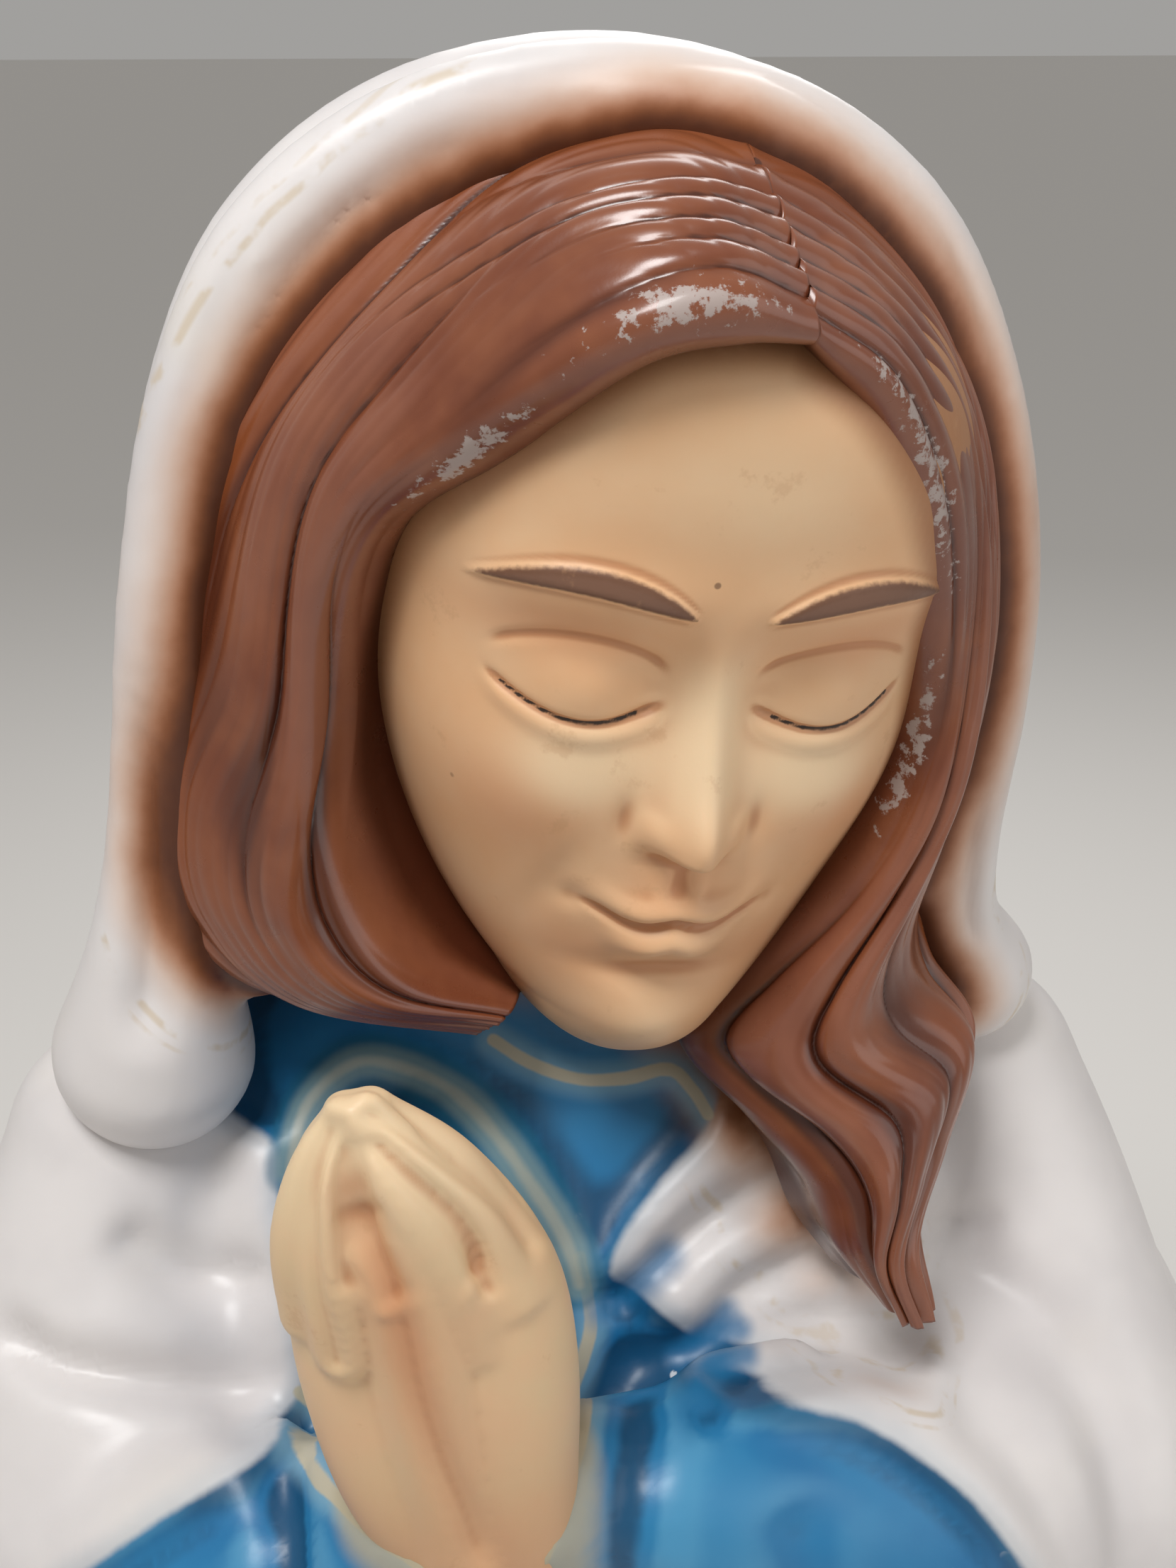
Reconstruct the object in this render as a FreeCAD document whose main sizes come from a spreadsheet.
"""Kneeling madonna light-up figure: a hollow blow-moulded shell with a lamp unit in its back.

Frame: +Z up, the figure faces -Y, origin on the floor under the middle of the figure. Millimetres.
"""
import FreeCAD, Part
import math
import os

from FreeCAD import Placement, Rotation, Vector

doc = FreeCAD.newDocument("madonna")
sheet = doc.addObject("Spreadsheet::Sheet", "spec")

# ---------------------------------------------------------------- driving dimensions, in millimetres
DIMENSIONS = {
    "wall": 2.4,             # blow-moulded wall
    "overall_tall": 711.0,   # floor to top of the hood
    # lamp unit, on an axis along Y through the back
    "lamp_z": 170.0,
    "pad_y": 146.0,          # flat pad round the lamp hole
    "pad_rad": 43.0,
    "hole_rad": 30.0,
    "fit_gap": 0.08,         # radial running clearance
    "cover_rad": 38.0,
    "cover_thick": 3.0,
    "spigot_long": 10.0,
    "spigot_wall": 2.0,
    "cord_drop": 18.0,       # cord hole below the lamp axis
    "cord_rad": 3.1,
    "grommet_rad": 5.5,
    "grommet_lip": 8.0,
    "grommet_lip_thick": 1.6,
    "holder_rad": 10.5,
    "holder_long": 38.0,
    "holder_gap": 8.0,       # cover to holder
    "holder_bore": 7.6,
    "holder_bore_deep": 30.0,
    "strip": 1.2,            # bracket sheet thickness
    "bracket_wide": 14.0,
    "band_long": 10.0,
    "foot_out": 26.0,
    "rivet_rad": 1.6,
    "rivet_head": 3.0,
    "rivet_head_thick": 0.9,
    "rivet_spread": 4.0,
    "rivet_inset": 6.0,      # rivets' line in from the foot's end
    "wire_hole_rad": 1.2,
    "wire_spread": 4.5,
    "contact_rad": 3.4,
    "contact_thick": 1.2,
    "contact_tip_rad": 1.6,
    "contact_tip_long": 3.9,
    "bite": 0.2,             # how far joined solids run into each other
    # screw shell and lamp
    "thread_pitch": 2.54,
    "shell_crest": 6.35,     # inner radius at the socket's ridges
    "shell_root": 6.9,
    "base_crest": 6.15,      # outer radius at the lamp base's ridges
    "base_root": 5.7,
    "base_thick": 0.35,
    "glass_rad": 11.0,
    "glass_neck": 5.1,
    "glass_thick": 0.7,
    # fill plug
    "plug_z": 44.0,
    "plug_pad_y": 176.0,
    "plug_pad_rad": 21.0,
    "plug_rad": 11.0,
    "plug_long": 9.0,
    "plug_lip": 16.0,
    "plug_lip_thick": 2.5,
    "plug_wall": 2.2,
    "plug_floor": 1.0,
    "tab_rad": 8.0,
    "tab_thick": 3.0,
    "tab_gap": 0.5,          # the tab's flat back stands this far out of the pad's plane
    # cutting tools
    "reach": 20.0,           # how far a cutting tool passes the face it enters
    "pad_reach": 60.0,       # ... and the tools that face off the pads
}
for row, (alias, value) in enumerate(DIMENSIONS.items(), start=1):
    sheet.set(f"A{row}", alias)
    sheet.set(f"B{row}", f"{value:g}")
    sheet.setAlias(f"B{row}", alias)
doc.recompute()


def dim(alias):
    """A driving dimension's value in millimetres."""
    return float(sheet.get(alias))


def bind(obj, **rules):
    """Bind properties to formulas of the sheet; bare words are its aliases, and Base_x is Placement.Base.x."""
    for prop, rule in rules.items():
        path = prop.replace("Base_", ".Placement.Base.")
        text = rule
        for alias in sorted(DIMENSIONS, key=len, reverse=True):
            text = text.replace(f"[{alias}]", f"spec.{alias}")
        obj.setExpression(path, text)
    return obj


def primitive(kind, name, base=(0, 0, 0), turn=None, **rules):
    obj = doc.addObject(f"Part::{kind}", name)
    obj.Placement = Placement(Vector(*base), turn or Rotation())
    return bind(obj, **rules)


def boolean(kind, name, first, *others):
    """Cut, or fuse when there are several."""
    if kind == "Cut":
        obj = doc.addObject("Part::Cut", name)
        obj.Base, obj.Tool = first, others[0]
    else:
        obj = doc.addObject("Part::MultiFuse", name)
        obj.Shapes = [first, *others]
    return obj


ALONG_Y = Rotation(Vector(1, 0, 0), -90)      # a cylinder's own +Z turned to +Y


def disc_y(name, start, long, radius, x="0", z="[lamp_z]"):
    """A cylinder along +Y from the plane y = start."""
    return primitive("Cylinder", name, turn=ALONG_Y, Radius=radius, Height=long,
                     Base_x=x, Base_y=start, Base_z=z)


# ---------------------------------------------------------------- the shell's outer form
# Gown and mantle: level, half width, half depth, middle's place along Y
BODY_SECTIONS = [
    (0, 172, 168, 10), (26, 184, 178, 8), (110, 178, 162, 6), (210, 172, 137, 4), (300, 182, 122, 2),
    (350, 182, 114, 4), (399, 156, 106, 8), (425, 144, 98, 12), (468, 112, 78, 20), (500, 84, 66, 18),
    (540, 66, 56, 2),
]
# Hood, from its ends on the shoulders up to its widest level, where the dome begins
HOOD_SECTIONS = [(448, 124, 62, -2), (470, 128, 70, -2), (500, 114, 78, -6), (540, 108, 90, -16), (575, 111, 97, -26)]
DOME = (112, 100, 109)                        # half width, half depth, height
DOME_MIDDLE = -30
DOME_LEVEL = DIMENSIONS["overall_tall"] - DOME[2]
DOME_ANGLES = (0, 20, 40, 56, 68, 78, 86)     # the dome's sections, in degrees above its widest level
# Rounded forms: name, (half width, half depth, half height), centre, (turn about Z, tilt about X, lean about Y)
ROUND_FORMS = [
    ("hair", (92, 68, 98), (5, -52, 588), (6, 16, 6)),
    ("face", (66, 84, 93), (6, -58, 590), (11, 28, 10)),
    ("locks", (34, 40, 62), (74, -70, 478), (0, 12, -4)),
    ("hands", (32, 34, 68), (-49, -152, 462), (14, 7, -11)),
    ("elbow_left", (68, 70, 78), (-118, -64, 330), (0, 0, 8)),
    ("elbow_right", (72, 72, 80), (118, -66, 330), (0, 0, -8)),
]
# Sleeves: elbow end, wrist end, radii at the two ends
SLEEVES = [
    ("sleeve_left", (-112, -70, 322), (-46, -146, 396), 56, 32),
    ("sleeve_right", (112, -74, 326), (-26, -146, 396), 60, 34),
]


def loft_form(name, sections):
    """Smooth loft through ellipses, each given by rules for its level, half width, half depth and middle."""
    wires = []
    for i, (level, wide, deep, middle) in enumerate(sections):
        ellipse = doc.addObject("Part::Ellipse", f"{name}_level_{i}")
        bind(ellipse, MajorRadius=wide, MinorRadius=deep, Base_y=middle, Base_z=level)
        wires.append(ellipse)
    loft = doc.addObject("Part::Loft", name)
    loft.Sections, loft.Solid, loft.Ruled, loft.Closed = wires, True, False, False
    return loft


def body_form(name, inset):
    """The gown and mantle from the closed bottom up into the hood, inset all round and above the bottom."""
    return loft_form(name, [
        (f"{level} + {inset}" if level == 0 else f"{level}", f"{wide} - {inset}", f"{deep} - {inset}", f"{middle}")
        for level, wide, deep, middle in BODY_SECTIONS])


def hood_form(name, inset):
    """The hood: its hanging ends, then a half ellipsoid as sections at rising angles."""
    wide, deep, tall = DOME
    first = HOOD_SECTIONS[0]
    ends = [
        (f"{level} + {inset}" if level == first[0] else f"{level}", f"{w} - {inset}", f"{d} - {inset}", f"{m}")
        for level, w, d, m in HOOD_SECTIONS]
    dome = []
    crown = math.sin(math.radians(DOME_ANGLES[-1]))
    for angle in DOME_ANGLES:
        across, up = math.cos(math.radians(angle)), math.sin(math.radians(angle)) / crown
        dome.append((f"{DOME_LEVEL} + ({tall} - {inset}) * {up:.4f}", f"({wide} - {inset}) * {across:.4f}",
                     f"({deep} - {inset}) * {across:.4f}", f"{DOME_MIDDLE}"))
    return loft_form(name, ends + dome)


def round_form(name, radii, centre, turns, inset):
    wide, deep, tall = radii
    turn = Rotation(Vector(0, 0, 1), turns[0]) * Rotation(Vector(1, 0, 0), turns[1])
    turn = turn * Rotation(Vector(0, 1, 0), turns[2])
    return primitive("Ellipsoid", name, centre, turn, Radius1=f"{tall} - {inset}",
                     Radius2=f"{wide} - {inset}", Radius3=f"{deep} - {inset}")


def sleeve_form(name, elbow, wrist, wide_end, narrow_end, inset):
    along = Vector(*wrist) - Vector(*elbow)
    turn = Rotation(Vector(0, 0, 1), along)
    return primitive("Cone", name, elbow, turn, Radius1=f"{wide_end} - {inset}",
                     Radius2=f"{narrow_end} - {inset}", Height=f"{along.Length:.3f} - {inset}")


def whole_form(label, inset):
    parts = [hood_form(f"{label}_hood", inset)]
    parts += [round_form(f"{label}_{n}", r, c, t, inset) for n, r, c, t in ROUND_FORMS]
    parts += [sleeve_form(f"{label}_{n}", e, w, a, b, inset) for n, e, w, a, b in SLEEVES]
    # flat pads moulded into the back for the lamp cover and the fill plug
    lamp_pad = disc_y(f"{label}_lamp_pad", f"[pad_y] - {inset}", "[pad_reach]", f"[pad_rad] + {inset}")
    plug_pad = disc_y(f"{label}_plug_pad", f"[plug_pad_y] - {inset}", "[pad_reach]",
                      f"[plug_pad_rad] + {inset}", z="[plug_z]")
    pads = boolean("MultiFuse", f"{label}_pads", lamp_pad, plug_pad)
    form = boolean("Cut", f"{label}_torso", body_form(f"{label}_body", inset), pads)
    for i, part in enumerate(parts):
        joined = doc.addObject("Part::Fuse", f"{label}_form_{i}")
        joined.Base, joined.Tool = form, part
        form = joined
    return form


outer = whole_form("outer", "0")
inner = whole_form("inner", "[wall]")
lamp_hole = disc_y("lamp_hole", "[pad_y] - [reach]", "2 * [reach]", "[hole_rad]")
plug_hole = disc_y("plug_hole", "[plug_pad_y] - [reach]", "2 * [reach]", "[plug_rad]", z="[plug_z]")
skin = boolean("Cut", "skin", outer, inner)
shell = boolean("Cut", "figure_shell", skin, boolean("MultiFuse", "holes", lamp_hole, plug_hole))
nodes = {"figure_shell": shell}

# ---------------------------------------------------------------- lamp cover
SPIGOT = "[hole_rad] - [fit_gap]"
cover_plate = disc_y("cover_plate", "[pad_y]", "[cover_thick]", "[cover_rad]")
cover_spigot = disc_y("cover_spigot", "[pad_y] - [spigot_long]", "[spigot_long]", SPIGOT)
spigot_hollow = disc_y("spigot_hollow", "[pad_y] - [spigot_long]", "[spigot_long]", f"{SPIGOT} - [spigot_wall]")
spigot_ring = boolean("Cut", "spigot_ring", cover_spigot, spigot_hollow)
cord_hole = disc_y("cord_hole", "[pad_y] - [reach]", "2 * [reach]", "[grommet_rad]", z="[lamp_z] - [cord_drop]")


def rivet_line(name):
    """Two through holes for the rivets."""
    return [
        disc_y(f"{name}_{side}", "[pad_y] - [reach]", "2 * [reach]", "[rivet_rad]", x="[foot_out] - [rivet_inset]",
               z=f"[lamp_z] {sign} [rivet_spread]")
        for side, sign in (("low", "-"), ("high", "+"))
    ]


cover_blank = boolean("MultiFuse", "cover_blank", cover_plate, spigot_ring)
nodes["lamp_cover"] = boolean("Cut", "lamp_cover", cover_blank,
                              boolean("MultiFuse", "cover_holes", cord_hole, *rivet_line("rivet_hole")))

# ---------------------------------------------------------------- cord grommet, gripping the cover plate
LIP = "[grommet_lip_thick]"
CORD_Z = "[lamp_z] - [cord_drop]"
grommet_core = disc_y("grommet_core", "[pad_y]", "[cover_thick]", "[grommet_rad]", z=CORD_Z)
grommet_out = disc_y("grommet_out", "[pad_y] + [cover_thick]", LIP, "[grommet_lip]", z=CORD_Z)
grommet_in = disc_y("grommet_in", f"[pad_y] - {LIP}", LIP, "[grommet_lip]", z=CORD_Z)
grommet_bore = disc_y("grommet_bore", "[pad_y] - [reach]", "2 * [reach]", "[cord_rad]", z=CORD_Z)
nodes["cord_grommet"] = boolean(
    "Cut", "cord_grommet", boolean("MultiFuse", "grommet_blank", grommet_core, grommet_out, grommet_in), grommet_bore)

# ---------------------------------------------------------------- holder bracket: band, leg and foot of one strip
LEG_LONG = "[holder_gap] + [reach]"
BAND_Y = f"[pad_y] - ({LEG_LONG})"
LEG_X = "[holder_rad] - [bite]"
LEG_Z = "[lamp_z] - [bracket_wide] / 2"
band_outer = disc_y("band_outer", BAND_Y, "[band_long]", "[holder_rad] + [strip]")
leg = primitive("Box", "leg", Length="[strip]", Width=LEG_LONG, Height="[bracket_wide]",
                Base_x=LEG_X, Base_y=BAND_Y, Base_z=LEG_Z)
foot = primitive("Box", "foot", Length="[foot_out] - [holder_rad] + [bite]", Width="[strip]",
                 Height="[bracket_wide]", Base_x=LEG_X, Base_y="[pad_y] - [strip]", Base_z=LEG_Z)
band_hollow = disc_y("band_hollow", "[pad_y] - 2 * [reach]", "[reach] + [band_long]", "[holder_rad]")
bracket_blank = boolean("MultiFuse", "bracket_blank", band_outer, leg, foot)
nodes["holder_bracket"] = boolean("Cut", "holder_bracket", bracket_blank,
                                  boolean("MultiFuse", "bracket_holes", band_hollow, *rivet_line("foot_hole")))


def rivet(side, sign):
    """Shank through cover and foot, with a head on each face."""
    where = {"x": "[foot_out] - [rivet_inset]", "z": f"[lamp_z] {sign} [rivet_spread]"}
    shank = disc_y(f"rivet_shank_{side}", "[pad_y] - [strip]", "[strip] + [cover_thick]", "[rivet_rad]", **where)
    head = disc_y(f"rivet_head_{side}", "[pad_y] + [cover_thick]", "[rivet_head_thick]", "[rivet_head]", **where)
    tail = disc_y(f"rivet_tail_{side}", "[pad_y] - [strip] - [rivet_head_thick]", "[rivet_head_thick]",
                  "[rivet_head]", **where)
    return boolean("MultiFuse", f"rivet_{side}", shank, head, tail)


rivets = doc.addObject("Part::Compound", "bracket_rivets")
rivets.Links = [rivet("low", "-"), rivet("high", "+")]
nodes["bracket_rivets"] = rivets

# ---------------------------------------------------------------- lamp holder and its contacts
HOLDER_Y = "[pad_y] - [holder_gap] - [holder_long]"
BORE_END = f"{HOLDER_Y} + [holder_bore_deep]"
housing = disc_y("housing", HOLDER_Y, "[holder_long]", "[holder_rad]")
housing_bore = disc_y("housing_bore", HOLDER_Y, "[holder_bore_deep]", "[holder_bore]")
wire_holes = [
    disc_y(f"wire_hole_{side}", f"{BORE_END} - [bite]", "[reach]", "[wire_hole_rad]", x=f"{sign}[wire_spread]")
    for side, sign in (("left", "-"), ("right", ""))
]
nodes["lamp_holder"] = boolean("Cut", "lamp_holder", housing,
                               boolean("MultiFuse", "holder_hollows", housing_bore, *wire_holes))


def turned(name, profile, closed_on_axis=False):
    """A piece turned about the lamp axis: profile points are (distance along +Y from the holder's mouth, radius)."""
    mouth = dim("pad_y") - dim("holder_gap") - dim("holder_long")
    points = [Vector(r, mouth + along, 0) for along, r in profile]
    if closed_on_axis:
        points = [Vector(0, points[0].y, 0), *points, Vector(0, points[-1].y, 0)]
    wire = Part.makePolygon([*points, points[0]])
    solid = Part.Face(wire).revolve(Vector(0, 0, 0), Vector(0, 1, 0), 360)
    piece = doc.addObject("Part::Feature", name)
    piece.Shape = solid
    piece.Placement = Placement(Vector(0, 0, dim("lamp_z")), Rotation())
    return piece


def ridges(start, count, root, crest):
    """A ridged wall: one ridge per pitch, from root to crest and back."""
    pitch = dim("thread_pitch")
    points = []
    for i in range(count):
        at = start + i * pitch
        points += [(at, root), (at + 0.3 * pitch, crest), (at + 0.7 * pitch, crest)]
    return points + [(start + count * pitch, root)]


SHELL_START, SHELL_TURNS = 2.0, 9
shell_end = SHELL_START + SHELL_TURNS * dim("thread_pitch")
liner = dim("holder_bore")
nodes["screw_shell"] = turned("screw_shell", [
    *ridges(SHELL_START, SHELL_TURNS, dim("shell_root"), dim("shell_crest")),
    (shell_end, liner), (SHELL_START, liner)])

contact_pad = disc_y("contact_pad", f"{BORE_END} - [contact_thick]", "[contact_thick]", "[contact_rad]")
contact_tip = disc_y("contact_tip", f"{BORE_END} - [contact_thick] - [contact_tip_long]", "[contact_tip_long]",
                     "[contact_tip_rad]")
nodes["centre_contact"] = boolean("MultiFuse", "centre_contact", contact_pad, contact_tip)

# ---------------------------------------------------------------- the lamp, screwed into the holder
BASE_START, BASE_TURNS = 4.5, 6
base_end = BASE_START + BASE_TURNS * dim("thread_pitch")
crest, root, skin_thick = dim("base_crest"), dim("base_root"), dim("base_thick")
ridge_wall = ridges(BASE_START, BASE_TURNS, root, crest)
nodes["lamp_base"] = turned("lamp_base", [
    (BASE_START - 4.0, root), *ridge_wall, (base_end + 2.2, 3.4),
    (base_end + 2.2, 3.4 - skin_thick), (base_end, root - skin_thick), (BASE_START - 4.0, root - skin_thick)])
nodes["lamp_insulator"] = turned("lamp_insulator", [
    (base_end + 1.1, 1.2), (base_end + 2.2, 3.4 - skin_thick), (base_end + 2.2, 3.4),
    (base_end + 3.6, 2.1), (base_end + 3.6, 1.2)])
nodes["lamp_tip_contact"] = turned("lamp_tip_contact", [
    (base_end + 1.1, 1.2), (base_end + 3.6, 1.2), (base_end + 3.6, 2.0), (base_end + 4.3, 2.0),
    (base_end + 5.0, 1.0)], closed_on_axis=True)


def glass_profile(inset):
    """Candle-shaped envelope from neck to tip: distance from the mouth runs negative, out of the holder."""
    neck, full = dim("glass_neck") - inset, dim("glass_rad") - inset
    return [(BASE_START + 1.0, neck), (BASE_START - 5.0, neck), (BASE_START - 9.0, neck + 1.6),
            (BASE_START - 15.0, full - 1.2), (BASE_START - 19.0, full), (BASE_START - 23.0, full - 0.3),
            (BASE_START - 28.0, full - 2.2), (BASE_START - 32.0, full - 4.9), (BASE_START - 35.0, full - 7.6),
            (BASE_START - 36.6 + inset, 1.2)]


nodes["lamp_glass"] = turned(
    "lamp_glass", [*glass_profile(0), (BASE_START - 36.6, 0), (BASE_START - 36.6 + dim("glass_thick"), 0),
                   *reversed(glass_profile(dim("glass_thick")))])
nodes["lamp_stem"] = turned("lamp_stem", [
    (BASE_START + 1.0, 3.9), (BASE_START - 0.5, 3.6), (BASE_START - 2.5, 2.0), (BASE_START - 11.0, 1.5)],
    closed_on_axis=True)

WIRE_RAD, WIRE_SPREAD, FILAMENT_RAD = 0.25, 3.2, 0.35
lead_end = dim("pad_y") - dim("holder_gap") - dim("holder_long") + BASE_START - 20.0
stem_end = lead_end + 9.0


def wire(points, radius):
    """A round wire swept along straight runs with mitred corners."""
    path = Part.makePolygon(points)
    section = Part.Wire(Part.makeCircle(radius, points[0], points[1] - points[0]))
    return path.makePipeShell([section], True, False, 1)


def lead(side):
    return wire([Vector(side * 1.0, stem_end + 0.4, dim("lamp_z")), Vector(side * 1.0, stem_end - 1.0, dim("lamp_z")),
                 Vector(side * WIRE_SPREAD, lead_end, dim("lamp_z"))], WIRE_RAD)


leads = doc.addObject("Part::Feature", "lamp_leads")
leads.Shape = Part.makeCompound([lead(-1), lead(1)]).cut(nodes["lamp_stem"].Shape)
nodes["lamp_leads"] = leads
filament = doc.addObject("Part::Feature", "lamp_filament")
filament.Shape = Part.makeCylinder(FILAMENT_RAD, 2 * WIRE_SPREAD + 1.2,
                                   Vector(-WIRE_SPREAD - 0.6, lead_end - FILAMENT_RAD, dim("lamp_z")),
                                   Vector(1, 0, 0)).cut(leads.Shape)
nodes["lamp_filament"] = filament

# ---------------------------------------------------------------- fill plug
plug_stem = disc_y("plug_stem", "[plug_pad_y] - [plug_long]", "[plug_long]", "[plug_rad] - [fit_gap]", z="[plug_z]")
plug_hollow = disc_y("plug_hollow", "[plug_pad_y] - [plug_long]", "[plug_long] - [plug_floor]",
                     "[plug_rad] - [plug_wall]", z="[plug_z]")
plug_lip = disc_y("plug_lip_disc", "[plug_pad_y]", "[plug_lip_thick]", "[plug_lip]", z="[plug_z]")
tab = primitive("Cylinder", "tab", turn=Rotation(Vector(0, 1, 0), 90), Radius="[tab_rad]", Height="[tab_thick]",
                Base_x="-[tab_thick] / 2", Base_y="[plug_pad_y] + [plug_lip_thick]", Base_z="[plug_z]")
tab_trim = primitive("Box", "tab_trim", Length="[reach]", Width="[reach]", Height="2 * [reach]",
                     Base_x="-[reach] / 2", Base_y="[plug_pad_y] + [tab_gap] - [reach]", Base_z="[plug_z] - [reach]")
plug_top = boolean("MultiFuse", "plug_top", boolean("Cut", "tab_half", tab, tab_trim), plug_lip)
nodes["fill_plug"] = boolean("MultiFuse", "fill_plug", boolean("Cut", "plug_tube", plug_stem, plug_hollow), plug_top)

# ---------------------------------------------------------------- check and write
doc.recompute()
failed = [o.Name for o in doc.Objects if any(flag in o.State for flag in ("Invalid", "Error"))]
if failed:
    raise RuntimeError(f"objects failed: {failed}")
os.makedirs("parts", exist_ok=True)
for name, obj in nodes.items():
    obj.Label = name
    shape = obj.Shape
    if shape.isNull() or not shape.isValid():
        raise RuntimeError(f"{name} is not a valid shape")
    box = shape.BoundBox
    print(f"{name}: {len(shape.Solids)} solid(s), {shape.Volume / 1000:.2f} cm3, "
          f"x {box.XMin:.1f}..{box.XMax:.1f} y {box.YMin:.1f}..{box.YMax:.1f} z {box.ZMin:.1f}..{box.ZMax:.1f}")
    shape.exportStep(f"parts/{name}.step")
